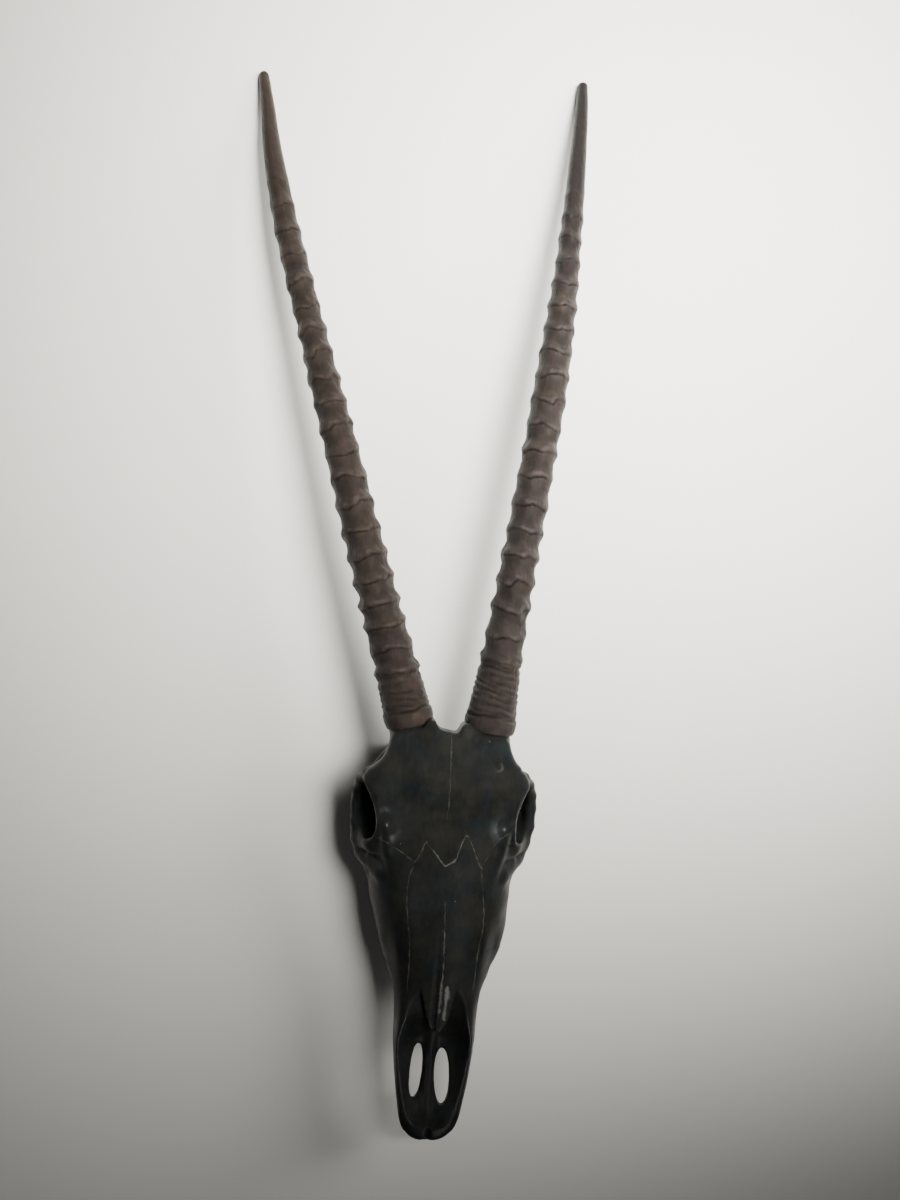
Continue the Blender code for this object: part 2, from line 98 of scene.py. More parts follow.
class Value:
    """A number or a vector that a node gives. Operators on it add Math or Vector Math nodes."""

    def __init__(self, nodes, socket):
        self.nodes = nodes
        self.socket = socket

    def math(self, operation, *values):
        is_vector = any(
            value.socket.type == "VECTOR" if isinstance(value, Value) else isinstance(value, (tuple, Vector))
            for value in values)
        kind = "ShaderNodeVectorMath" if is_vector else "ShaderNodeMath"
        return self.nodes.get(kind, *values, operation=operation)

    def __add__(self, other):
        return self.math("ADD", self, other)

    def __radd__(self, other):
        return self.math("ADD", other, self)

    def __sub__(self, other):
        return self.math("SUBTRACT", self, other)

    def __rsub__(self, other):
        return self.math("SUBTRACT", other, self)

    def __mul__(self, other):
        if self.socket.type == "VECTOR" and not isinstance(other, (tuple, Vector)):
            if not isinstance(other, Value) or other.socket.type != "VECTOR":
                return self.nodes.get("ShaderNodeVectorMath", self, operation="SCALE", named={"Scale": other})
        return self.math("MULTIPLY", self, other)

    def __rmul__(self, other):
        return self * other

    def __truediv__(self, other):
        return self.math("DIVIDE", self, other)

    def __rtruediv__(self, other):
        return self.math("DIVIDE", other, self)

    def __pow__(self, exponent):
        return self.math("POWER", self, exponent)

    def __neg__(self):
        return self.math("MULTIPLY", self, -1.0)

    def __abs__(self):
        return self.math("ABSOLUTE", self)

    def above(self, other):
        """The larger of two numbers."""
        return self.math("MAXIMUM", self, other)

    def below(self, other):
        """The smaller of two numbers."""
        return self.math("MINIMUM", self, other)

    def kept(self):
        """Held between 0 and 1."""
        return self.above(0.0).below(1.0)

    def sine(self):
        return self.math("SINE", self)

    def whole(self):
        """The whole number below."""
        return self.math("FLOOR", self)

    def dot(self, other):
        return self.nodes.get("ShaderNodeVectorMath", self, other, operation="DOT_PRODUCT", output="Value")

    def length(self):
        return self.nodes.get("ShaderNodeVectorMath", self, operation="LENGTH", output="Value")

    def turned(self, degrees):
        """The vector turned about the y axis."""
        angle = {"Angle": math.radians(degrees)}
        return self.nodes.get("ShaderNodeVectorRotate", self, rotation_type="Y_AXIS", named=angle)

    def parts(self):
        """The x, y and z of a vector."""
        return [Value(self.nodes, part) for part in self.nodes.add("ShaderNodeSeparateXYZ", self).outputs]


def union(*solids, blend=0.0):
    """Joins solids, with a fillet of about this size where they meet."""
    joined = solids[0]
    for solid in solids[1:]:
        joined = joined.math("SMOOTH_MIN", joined, solid, blend)
    return joined


def common(first, second, blend=0.0):
    """What two solids share, with its edges rounded."""
    return first.math("SMOOTH_MAX", first, second, blend)


def cut(solid, hollow, blend=0.0):
    """Takes a hollow out of a solid, and rounds the hollow's edge."""
    return common(solid, -hollow, blend)


def profile(along, points, straight=False):
    """A smooth curve through points (place, value), read at a value. It can run straight between them."""
    low, high = points[0][0], points[-1][0]
    heights = [height for place, height in points]
    base, span = min(heights), max(heights) - min(heights)
    made = along.nodes.add("ShaderNodeFloatCurve", 1.0, ((along - low) / (high - low)).kept())
    curve = made.mapping.curves[0]
    while len(curve.points) < len(points):
        curve.points.new(0.5, 0.5)
    for point, (place, height) in zip(curve.points, points):
        point.location = ((place - low) / (high - low), (height - base) / span)
        point.handle_type = "VECTOR" if straight else "AUTO"
    made.mapping.update()
    return Value(along.nodes, made.outputs[0]) * span + base


def solid_group(name, vectors, numbers, formula):
    """A node group for a kind of solid: a formula of a point, some other vectors and some numbers."""
    tree = bpy.data.node_groups.new(name, "GeometryNodeTree")
    for given in ("Where", *vectors):
        tree.interface.new_socket(given, in_out="INPUT", socket_type="NodeSocketVector")
    for given in numbers:
        tree.interface.new_socket(given, in_out="INPUT", socket_type="NodeSocketFloat")
    tree.interface.new_socket("Distance", in_out="OUTPUT", socket_type="NodeSocketFloat")
    nodes = Nodes(tree)
    inputs = [Value(nodes, socket) for socket in nodes.add("NodeGroupInput").outputs[:-1]]
    nodes.add("NodeGroupOutput", formula(*inputs))
    return tree


def ball_formula(where, centre, radii, squares, tilt):
    offset = where - centre
    offset = offset.nodes.get("ShaderNodeVectorRotate", offset, rotation_type="Y_AXIS", named={"Angle": tilt})
    reach = (offset / radii).length()
    return reach * (reach - 1) / (offset / squares).length().above(1e-4)


def bar_formula(where, start, axis, squared_length, radius, taper):
    offset = where - start
    along = (offset.dot(axis) / squared_length).kept()
    return (offset - axis * along).length() - (along * taper + radius)


def dent_formula(where, centre, radii, depth):
    reach = ((where - centre) / radii).length()
    return (1 - reach * reach).above(0.0) ** 2 * depth


BALL = solid_group("ball", ("Centre", "Radii", "Squares"), ("Tilt",), ball_formula)
BAR = solid_group("bar", ("Start", "Axis"), ("Squared Length", "Radius", "Taper"), bar_formula)
DENT = solid_group("dent", ("Centre", "Radii"), ("Depth",), dent_formula)


def ball(centre, radii, where, tilt=0):
    """An ellipsoid, turned about y so that its outer end looks up by some degrees."""
    squares = tuple(radius * radius for radius in radii)
    tilt = math.radians(tilt)
    return where.nodes.get("GeometryNodeGroup", where, centre, radii, squares, tilt, node_tree=BALL)


def limb(points, where, blend=0.0):
    """A rounded bar through points (x, y, z, radius), which tapers from each point to the next."""
    bars = []
    for start, end in zip(points, points[1:]):
        axis = Vector(end[:3]) - Vector(start[:3])
        taper = end[3] - start[3]
        bars.append(where.nodes.get(
            "GeometryNodeGroup", where, start[:3], axis, axis.length_squared, start[3], taper, node_tree=BAR))
    return union(*bars, blend=blend)


def barrel(across, height, half_width, top, widest, bottom, squareness):
    """A bar along y: each section is a rounded box about the height where it is widest."""
    upper = top - widest
    lower = widest - bottom
    half_height = lower + height.math("GREATER_THAN", height, widest) * (upper - lower)
    outward = across / half_width + 1e-3
    upward = abs(height - widest) / half_height + 1e-3
    reach = (outward ** squareness + upward ** squareness) ** (1 / squareness)
    slope_across = outward ** (squareness - 1) / half_width
    slope_up = upward ** (squareness - 1) / half_height
    slope = (slope_across * slope_across + slope_up * slope_up) ** 0.5 * reach ** (1 - squareness)
    return (reach - 1) / slope


def dent(centre, radii, depth, where):
    """A shallow hollow in a surface, or a swelling if its depth is negative."""
    return where.nodes.get("GeometryNodeGroup", where, centre, radii, depth, node_tree=DENT)


def seam(points, width, depth, where):
    """A furrow along a line in a surface, or a ridge if its depth is negative."""
    distance = limb([(*point, 0) for point in points], where)
    return (1 - distance / width).above(0.0) ** 2 * depth


SKULL_GRID = 1.3
SKULL_FACES = 190000
SKULL_BOX = (-94, -374, -2), (94, 26, 134)
NOSE_END = -366.5
ORBIT = (67, -71, 98)
ORBIT_RADII = (36, 25, 19.5)
ORBIT_TILT = 23
ORBIT_WALL = 4
HORNS = {  # control points of the curve from the middle of a horn's base to its tip
    "horn_left": ((-34.4, 3.2, 97.7), (-85.4, 198, 106.7), (-154.5, 369.4, 74.8), (-194, 596, 3.3)),
    "horn_right": ((34, 0.1, 97.5), (57.6, 188.1, 108.2), (96.8, 384.1, 73.2), (105.5, 604, 3.3)),
}
TEETH = (  # name, size across the row, size along it, lobes, from the front to the back
    ("premolar_2", 9.5, 11.5, 1),
    ("premolar_3", 11.5, 13.5, 1),
    ("premolar_4", 13.5, 14.5, 1),
    ("molar_1", 15, 19.5, 2),
    ("molar_2", 16, 23, 2),
    ("molar_3", 15.5, 25, 2),
)
TOOTH_GAP = 0.35
ROW_FRONT = -229.5
ROW_SLOPE = 0.34
ROW_END_HEIGHT = 0.8
ROW_PLACE = 29.5  # of the first tooth, from the midline
ROW_BOW = 6.5
WIDEST_TOOTH = 4
CROWN_HEIGHT = 13
ROOT_DEPTH = 8
SOCKET_ROOM = 0.7, 0.2
SOCKET_HALF_DEPTH = 5


def biting_height(along):
    """Height of the biting line above the floor, at a place along the skull."""
    row_length = sum(length + TOOTH_GAP for name, width, length, lobes in TEETH)
    return (ROW_FRONT + row_length - along) * ROW_SLOPE + ROW_END_HEIGHT


def tooth_places():
    """Name, middle of the biting face on the right side, size across, size along and lobes of each tooth."""
    front = ROW_FRONT
    for index, (name, width, length, lobes) in enumerate(TEETH):
        middle = front + length / 2
        outward = ROW_PLACE + ROW_BOW * math.sin(math.pi / 2 * index / WIDEST_TOOTH)
        yield name, Vector((outward, middle, biting_height(middle))), width, length - TOOTH_GAP, lobes
        front += length + TOOTH_GAP


def face(point, muzzle, half_width):
    """Nasals, maxillae and premaxillae: a long tapering barrel, with a furrow along the nasals."""
    x, y, z = point.parts()
    top = profile(y, [
        (-366, 77), (-335, 84), (-300, 90), (-262, 99), (-232, 105), (-196, 113), (-151, 119.5), (-120, 123),
        (-92, 125.5), (-70, 126)])
    widest = profile(y, [(-366, 71), (-300, 76), (-245, 75), (-220, 67), (-190, 64), (-120, 64), (-70, 72)])
    bottom = profile(y, [
        (-366, 64), (-300, 65), (-270, 63), (-240, 60), (-210, 56), (-160, 42), (-125, 33), (-100, 34),
        (-70, 40)])
    squareness = profile(y, [(-366, 2.6), (-262, 2.8), (-215, 2.3), (-70, 2.3)])
    nasal_groove = profile(y, [(-266, 2.4), (-240, 2.0), (-212, 1.0), (-180, 0.3), (-110, 0)])
    top = top - (1 - abs(x + 2.5) / 4.2).above(0.0) ** 2 * nasal_groove
    solid = barrel(muzzle, z, half_width, top, widest, bottom, squareness)
    return common(common(solid, y + 74, blend=8), NOSE_END - y, blend=9)


def forehead(point, side):
    """A roof that overhangs the orbits, and ends in a notch between the horns."""
    x, y, z = point.parts()
    brow = profile(y, [
        (-140, 44), (-120, 50), (-100, 55), (-85, 58), (-75, 60), (-60, 65), (-50, 70), (-42, 73), (-36, 71),
        (-30, 64.5), (-20, 55.5), (-10, 52), (0, 50)])
    top = profile(y, [
        (-140, 110), (-115, 120.5), (-92, 125), (-56, 127), (-23, 124.5), (-8, 122.5), (8, 120.5)])
    edge = top - 14
    roof = barrel(side.parts()[0], z, brow, top, edge, edge - 15, 3.2)
    notch = profile(x, [
        (-46, -3), (-34, 1), (-24, 5), (-16.5, 10.5), (-11.5, 5), (-7, 2), (-1, 0.8), (4, 0), (8, 3),
        (12.5, 8), (22, 4), (34, -1), (46, -5)])
    return common(common(roof, y - notch, blend=6), -134 - y, blend=12)


def braincase(side):
    """The braincase, its rear ridge, the ear capsules, the condyles and the processes that it rests on."""
    return union(
        ball((0, -50, 74), (45, 43, 42), side),
        ball((0, -92, 76), (37, 36, 40), side),
        ball((44, -100, 62), (22, 26, 19), side),
        limb([(0, -22, 36, 13), (0, -80, 42, 10)], side),
        limb([(0, -14, 106, 7), (27, -14, 104, 7), (43, -20, 92, 7), (46, -24, 62, 8)], side, blend=3),
        ball((25, -47, 30), (10, 14, 12), side),
        limb([(34, -42, 52, 8), (51, -37, 57, 6)], side),
        limb([
            (38, -21, 58, 10), (41, -22, 36, 7.5), (40.5, -25, 14, 5.6), (38.5, -29, -8, 4.4)],
            side, blend=4),
        ball((21, -21, 36), (12, 11, 14), side),
        ball((15.5, -96, 34), (4, 20, 20), side),
        blend=6)


def tooth_rows(side):
    """The bone that holds the cheek teeth."""
    y, z = side.parts()[1:]
    rows = limb([
        (34, -112, 26, 10.5), (36, -135, 33, 11.5), (35, -165, 43, 11.5), (33, -195, 52, 10),
        (30, -230, 62, 8)], side, blend=4)
    return common(rows, biting_height(y) + CROWN_HEIGHT - z, blend=2)


def palate_vault(side):
    """The hollow between the two tooth rows."""
    across, y, z = side.parts()
    half_width = profile(y, [(-250, 14), (-225, 21), (-200, 24), (-160, 26), (-105, 26)])
    top = profile(y, [(-260, 60), (-225, 61), (-200, 55), (-160, 46), (-115, 40), (-100, 36)])
    vault = barrel(across, z, half_width, top, top - 12, top - 140, 2.4)
    return common(vault, -262 - y, blend=8)


def cheekbones(side):
    """The cheek in front of the orbit, and the arch behind it."""
    return union(
        limb([(46, -104, 106, 12), (60, -99, 96, 10), (71, -99, 80, 8)], side, blend=6),
        limb([(50, -122, 94, 12), (64.5, -114, 79, 9.5)], side),
        limb([(56, -132, 62, 9), (67, -113, 70, 9), (73, -98, 74, 8)], side, blend=4),
        limb([(66, -106, 62, 8), (68, -84, 60, 7), (70, -64, 62, 6)], side, blend=3),
        limb([(76, -57, 71, 5), (65, -43, 66, 5), (53, -31, 60, 6), (44, -24, 58, 7)], side, blend=3),
        blend=8)


def pedicle(curve, point):
    """The stump that carries a horn."""
    root = Vector(curve[0])
    lean = (Vector(curve[1]) - root).normalized()
    places = ((-45, 24), (-12, 19.6), (5, 18.0))
    return limb([(*(root + lean * place), radius) for place, radius in places], point)


def with_orbits(solid, side):
    """Lets in the orbits. Each is a cup under the brow, and its outer rim is a thick rounded bar."""
    across, y, z = side.parts()
    upper = ((z - 93) / 21).kept()
    skewed = side.nodes.vector(across - (y + 65) * upper * 0.22, y, z)
    cup = ball(ORBIT, tuple(radius + ORBIT_WALL for radius in ORBIT_RADII), side, tilt=ORBIT_TILT)
    cup = common(cup, (side - ORBIT).turned(ORBIT_TILT).dot((1, 0, 0)) - 2, blend=4)
    solid = cut(union(solid, cup, blend=6), ball(ORBIT, ORBIT_RADII, skewed, tilt=ORBIT_TILT), blend=2)
    bar = limb([
        (69, -112, 73, 8), (74.4, -99, 77, 6.5), (76.8, -84, 79, 5.6), (77.4, -68, 80, 5.5),
        (76.8, -56, 85, 5.2), (74.2, -45, 95, 5), (69.5, -38, 107, 5)], side, blend=4)
    return union(solid, bar, blend=5)


def nasal_opening(side, muzzle, half_width):
    """A smooth trough in front of the nasals, which overhang it, and the passage behind."""
    across, y, z = side.parts()
    trough_floor = profile(y, [
        (-366, 93), (-358, 84), (-350, 78), (-334, 74), (-300, 71.5), (-280, 73.5), (-266, 80), (-252, 89),
        (-238, 96), (-226, 103), (-214, 111), (-200, 125)])
    wall = profile(y, [(-366, 4), (-334, 11), (-300, 14), (-262, 14), (-243, 10), (-225, 7), (-200, 6)])
    trough = (trough_floor + (muzzle / (half_width - 4)) ** 3.2 * wall - z) * 0.8
    nasal_edge = profile(across, [
        (0, -263), (5, -260), (9.5, -250), (12.5, -238), (15.5, -225), (19, -213), (24, -204), (34, -200)])
    mouth = common(trough, y - nasal_edge, blend=2)
    passage = limb([
        (0, -262, 84, 4), (0, -236, 82, 6), (0, -205, 84, 10), (0, -180, 84, 16), (0, -140, 78, 20),
        (0, -112, 58, 14), (0, -102, 46, 12), (0, -84, 20, 10)], side, blend=3)
    return union(mouth, passage, blend=1)


def with_palate_slots(solid, point):
    """Adds the keel along the mouth's floor, the cleft at its end and the two long openings beside it."""
    x, y, z = point.parts()
    keel = limb([(-1, -252, 77, 5), (-3.5, -290, 69.5, 4.5), (-5.5, -350, 71, 5)], point)
    solid = union(solid, keel, blend=5)
    solid = cut(solid, limb([(-5.8, -368.5, 50, 2), (-5.8, -368.5, 90, 2)], point), blend=2)
    slots = union(
        ball((-15.3, -305, 66), (5.5, 25, 60), point.nodes.vector(x - (y + 305) * 0.055, y, z)),
        ball((8, -310, 66), (6.7, 25.6, 60), point.nodes.vector(x + (y + 310) * 0.03, y, z)))
    return cut(solid, slots, blend=2)


def with_holes(solid, side):
    """Takes out the braincase's hollow and the holes for nerves and vessels."""
    solid = cut(solid, ball((0, -50, 74), (35, 34, 32), side), blend=2)
    solid = cut(solid, limb([(0, 12, 40, 12.5), (0, -35, 56, 13)], side), blend=3)
    holes = (
        [(49, -214, 74, 4.2), (41, -200, 70, 2.5)],  # below the eye, over the first teeth
        [(64, -36, 57, 3.4), (44, -40, 52, 2.0)],  # the ear
        [(13, -206, 66, 1.2), (14, -192, 40, 2.4)],  # in the palate
        [(20, -72, 34, 3.2), (17, -70, 50, 3.0)],  # in the skull's base
        [(30, -33, 22, 2.4), (26, -36, 46, 2.0)],  # between ear capsule and condyle
        [(48, -88, 92, 3.6), (24, -74, 84, 3.0)],  # for the optic nerve
        [(62, -101, 86, 1.6), (50, -112, 82, 1.4)],  # for the tear duct
    )
    return cut(solid, union(*(limb(ends, side) for ends in holes)), blend=1.2)


def tooth_sockets(side):
    """A rounded box around the root of each tooth."""
    sockets = []
    lean = math.atan(ROW_SLOPE)
    for name, middle, width, length, lobes in tooth_places():
        offset = side - tuple(middle + Vector((0, -math.sin(lean), math.cos(lean))) * (CROWN_HEIGHT + 1))
        half_size = width / 2 + SOCKET_ROOM[0], length / 2 + SOCKET_ROOM[1], SOCKET_HALF_DEPTH
        reach = [part / half for part, half in zip(abs(offset).parts(), half_size)]
        sockets.append(((reach[0] ** 4 + reach[1] ** 4 + reach[2] ** 4) ** 0.25 - 1) * SOCKET_HALF_DEPTH)
    return union(*sockets)


def relief(point, side):
    """Swellings, furrows and sunk areas, each to be added to the field."""
    return [
        dent((40.8, -26.5, 127), (6.5, 5.0, 7), -0.35, point),
        dent((41.6, -26, 127), (4.4, 2.6, 7), 1.2, point),
        dent((43.6, -28.4, 127), (2.2, 2.6, 7), 1.0, point),
        dent((-41.4, -17, 126), (2.8, 2.8, 7), 1.0, point),
        dent((56, -184, 66), (22, 36, 28), -3.6, point),
        dent((55, -108, 108), (15, 15, 14), 1.5, side),
        dent((53, -80, 124), (11, 12, 12), -1.5, side),
        dent((26, -70, 128), (26, 34, 12), -0.8, side),
        dent((45, -196, 92), (12, 46, 20), 1.8, side),
        dent((58, -152, 60), (12, 20, 12), -1.8, side),
        dent((52, -182, 66), (12, 18, 14), 1.2, side),
        dent((0, -34, 26), (5, 18, 8), 1.6, side),
        dent((9, -38, 25), (6, 8, 6), -2.2, side),
        dent((22, -4, 80), (14, 10, 20), 1.6, side),
        seam([(66, -112, 92), (58, -121, 92), (49, -140, 98)], 6, -1.0, side),
        seam([(61, -93, 109), (55, -94, 115), (46, -98, 119)], 3.5, -1.0, side),
        seam([(72, -108, 74), (62, -134, 68), (54, -166, 62)], 7, -1.2, side),
        seam([(71, -40, 114), (65, -60, 117), (60, -76, 117), (59, -85, 114)], 2.6, -1.0, side),
        seam([(41.5, -28, 126), (40, -44, 127), (36, -66, 128)], 3.5, 0.4, side),
        seam([(0, -116, 54), (0, -180, 53), (0, -250, 66)], 3, 0.9, side),
        seam([(25, -140, 121), (29, -190, 112), (28.5, -225, 103)], 3.2, 0.6, side),
        seam([(-5.8, -345, 75), (-5.8, -366, 75)], 2.2, 0.8, point),
        seam([(14, -8, 84), (17, -20, 60), (20, -30, 40)], 3, 0.8, side),
    ]


def skull_field(nodes):
    """The whole bone, from masses to seams."""
    point = nodes.get("GeometryNodeInputPosition")
    x, y, z = point.parts()
    narrower = profile(y, [  # how much narrower the cheek and the orbit on the right are
        (-190, 0), (-150, 0.02), (-126, 0.06), (-105, 0.065), (-84, 0.03), (-56, 0.03), (-44, 0.04),
        (-37, 0.055), (-28, 0.01), (-20, 0)])
    extra = x.above(0.0) * narrower * ((z - 45) / 15).kept()
    side = nodes.vector(abs(x) + extra, y, z)
    bend = profile(y, [  # the mouth's end bends a little to one side
        (-366, -3), (-350, -2.5), (-310, -1.6), (-285, -1.2), (-262, -0.7), (-235, -0.2), (-212, 0.9),
        (-190, 0)])
    muzzle = abs(x - bend) + extra
    half_width = profile(y, [
        (-366, 11.5), (-360, 18.8), (-350, 25.2), (-330, 29.4), (-305, 33), (-278, 35.7), (-245, 37),
        (-232, 38.8), (-220, 43.2), (-208, 47.6), (-190, 53), (-160, 60), (-138, 64), (-120, 64.5),
        (-100, 60), (-70, 44)])

    solid = union(face(point, muzzle, half_width), forehead(point, side), blend=10)
    solid = union(solid, braincase(side), blend=9)
    solid = union(solid, tooth_rows(side), blend=6)
    solid = cut(solid, palate_vault(side), blend=4)
    solid = union(solid, cheekbones(side), blend=9)
    for curve in HORNS.values():
        solid = union(solid, pedicle(curve, point), blend=8)
    solid = solid + dent((34, 4, 122), (24, 20, 14), 3.2, side)
    solid = with_orbits(solid, side)
    solid = cut(solid, nasal_opening(side, muzzle, half_width), blend=2)
    solid = with_palate_slots(solid, point)
    solid = with_holes(solid, side)
    solid = cut(solid, tooth_sockets(side), blend=1.0)
    for change in relief(point, side):
        solid = solid + change
    solid = solid + nodes.noise(point, 22.0) * 0.9 + nodes.noise(point, 7.0) * 0.2
    return common(solid, -z, blend=0.8)


def grid_shape(nodes, field, low, high, size):
    """The surface of a field, in metres."""
    counts = [round((far - near) / size) for near, far in zip(low, high)]
    grid = nodes.get("GeometryNodeVolumeCube", -field, -1.0, low, high, *counts)
    surface = nodes.get("GeometryNodeVolumeToMesh", grid, named={"Threshold": 0.0})
    return nodes.get("GeometryNodeTransform", surface, None, None, (MM, MM, MM))


def finish_group(nodes, geometry, material):
    """Ends a node group with real geometry of one material."""
    real = nodes.get("GeometryNodeRealizeInstances", geometry)
    nodes.add("NodeGroupOutput", nodes.get("GeometryNodeSetMaterial", real, None, material))


def new_group(name):
    tree = bpy.data.node_groups.new(name, "GeometryNodeTree")
    tree.interface.new_socket("Geometry", in_out="OUTPUT", socket_type="NodeSocketGeometry")
    return Nodes(tree)


def made_real(name, tree, settings=(), faces=None):
    """Runs a node group, thins its faces if asked to, and keeps the result as a plain object."""
    source = bpy.data.objects.new(name + "_source", bpy.data.meshes.new(name))
    bpy.context.scene.collection.objects.link(source)
    shape = source.modifiers.new("shape", "NODES")
    shape.node_group = tree
    sockets = {item.name: item.identifier for item in tree.interface.items_tree if item.in_out == "INPUT"}
    for key, value in dict(settings).items():
        shape[sockets[key]] = value
    source.update_tag()
    if faces:
        found = source.evaluated_get(bpy.context.evaluated_depsgraph_get()).data
        found.calc_loop_triangles()
        thin = source.modifiers.new("thin", "DECIMATE")
        thin.ratio = min(1.0, faces / len(found.loop_triangles))
    result = source.evaluated_get(bpy.context.evaluated_depsgraph_get())
    mesh = bpy.data.meshes.new_from_object(result)
    mesh.name = name
    bpy.data.objects.remove(source)
    mesh.shade_smooth()
    made = bpy.data.objects.new(name, mesh)
    bpy.context.scene.collection.objects.link(made)
    return made


def store_sharpness(mesh, rounds):
    """Stores at every vertex how much the surface bends there: over 0 on edges, under 0 in furrows."""
    count = len(mesh.vertices)
    places = np.zeros(count * 3)
    mesh.vertices.foreach_get("co", places)
    places = places.reshape(-1, 3) / MM
    normals = np.zeros(count * 3)
    mesh.vertices.foreach_get("normal", normals)
    normals = normals.reshape(-1, 3)
    ends = np.zeros(len(mesh.edges) * 2, dtype=np.int32)
    mesh.edges.foreach_get("vertices", ends)
    first, second = ends.reshape(-1, 2).T
    step = places[second] - places[first]
    bend = ((normals[second] - normals[first]) * step).sum(1) / np.maximum((step * step).sum(1), 1e-6)
    neighbours = np.bincount(first, minlength=count) + np.bincount(second, minlength=count)
    neighbours = np.maximum(neighbours, 1)
    sharpness = (np.bincount(first, bend, count) + np.bincount(second, bend, count)) / neighbours
    for _ in range(rounds):
        around = np.bincount(first, sharpness[second], count) + np.bincount(second, sharpness[first], count)
        sharpness = (sharpness + around / neighbours) / 2
    layer = mesh.attributes.new("sharpness", "FLOAT", "POINT")
    layer.data.foreach_set("value", np.clip(sharpness, -1, 1).astype(np.float32))


def place_piece(piece, node):
    """Lets a piece stand for a node of the frame."""
    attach(piece, "root")
    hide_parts(node)


def new_material(name):
    """A Principled material, its nodes, its shader and the point in the skull's frame."""
    made = bpy.data.materials.new(name)
    made.use_nodes = True
    nodes = Nodes(made.node_tree)
    point = nodes.get("ShaderNodeTexCoord", output="Object") * (1 / MM) - tuple(RIDGE)
    return made, nodes, made.node_tree.nodes["Principled BSDF"], point


def painted(nodes, colour, layers):
    """Lays colours over a first one, each by its own share."""
    for share, paint in layers:
        colour = nodes.mix(share, colour, paint)
    return colour


def lead_in(nodes, shader, colour, rough, height, strength, depth):
    """Leads a colour, a roughness and a bump of this depth in metres into a shader."""
    bump = nodes.get("ShaderNodeBump", named={"Strength": strength, "Distance": depth, "Height": height})
    for name, value in (("Base Color", colour), ("Roughness", rough), ("Normal", bump)):
        nodes.tree.links.new(value.socket, shader.inputs[name])


def line_at(distance, width):
    """1 on a line, falling smoothly to 0 at about this distance from it. The line is wider here and there."""
    return (1 - abs(distance) / (line_width * width)).kept() ** 1.5


def close_to(point, start, end, reach):
    """1 on the line between two points, falling to 0 at this distance from it."""
    axis = Vector(end) - Vector(start)
    offset = point - start
    along = (offset.dot(axis) / axis.length_squared).kept()
    return (1 - (offset - point.nodes.vector(*(along * part for part in axis))).length() / reach).kept()


def span(value, low, high, soft):
    """1 between two values, with soft ends."""
    return ((value - low) / soft).kept() * ((high - value) / soft).kept()


bone, nodes, shader, point = new_material("polished_dark_bone")
drift = {"Vector": point * 0.32, "Scale": 1.0, "Detail": 3.0}
wander = nodes.get("ShaderNodeTexNoise", output="Color", named=drift)
jagged = point + (wander - (0.5, 0.5, 0.5)) * 2.6
x, y, z = jagged.parts()
on_top = ((z - 88) / 8).kept()
line_width = (nodes.noise(point + (30, 0, 0), 7.0, 2.0) * 3.4 + 1.15).above(0.45)

# sutures: the midline of the forehead, the notched line behind the nasals, the nasals' sides and midline, and
# the lines that run from the notches out to the orbits
forehead_line = line_at(x - profile(y, [(-70, -0.6), (-30, 0.6), (10, -0.8)]), 0.75) * span(y, -74, 6, 12)
notched = profile(x, [
    (-30, -112), (-26, -110), (-22.5, -104.5), (-17.7, -92), (-12.4, -98.5), (-6.9, -105.5), (-0.6, -113),
    (3, -111.5), (8.5, -107), (13, -92), (16.7, -85.5), (20.5, -91), (27.4, -109), (31, -114.5)],
    straight=True)
steep = profile(x, [
    (-30, 0.9), (-25, 0.6), (-20, 0.4), (-16, 0.6), (-9, 0.62), (-2, 0.8), (4, 0.9), (10, 0.3), (15, 0.42),
    (19, 0.5), (25, 0.36), (31, 0.5)])
notched_line = line_at((y - notched) * steep, 0.8) * span(x, -29, 31.5, 2)
left_side = profile(y, [
    (-235, -27.6), (-189, -27), (-160, -30), (-139, -31.5), (-126, -30.7), (-117, -28.6), (-109, -26)])
right_side = profile(y, [(-234, 30), (-187, 32.5), (-162, 35.5), (-141, 34), (-124, 31.7), (-112, 30.5)])
nasal_lines = (line_at(x - left_side, 0.7) + line_at(x - right_side, 0.6)) * span(y, -232, -110, 10)
midline = profile(y, [(-262, 0.2), (-240, 1.2), (-218, 2.0), (-200, 2.6), (-170, 2.0), (-140, 0.8)])
midline = line_at(x - midline, 0.75) * span(y, -264, -142, 8)
left_cheek = profile(x, [(-60, -92), (-47, -97), (-36.8, -103.5), (-28, -110)])
left_cheek = line_at((y - left_cheek) * 0.85, 0.7) * span(x, -60, -27, 3)
right_cheek = profile(x, [(30, -113), (34.5, -107), (39.7, -96), (47.9, -87), (58, -83)])
right_cheek = line_at((y - right_cheek) * 0.72, 0.7) * span(x, 28, 58, 4)
sutures = forehead_line * 0.5 + notched_line + nasal_lines * 0.75 + midline
sutures = ((sutures + left_cheek * 0.7 + right_cheek * 0.7) * on_top).kept()
palate_lines = line_at(x, 0.8) * span(y, -300, -116, 10) + line_at(y + 150 + abs(x) * 0.35, 0.8)
palate_lines = palate_lines * ((70 - z) / 6).kept() * span(y, -300, -110, 6) * (1 - abs(x) / 30).kept()

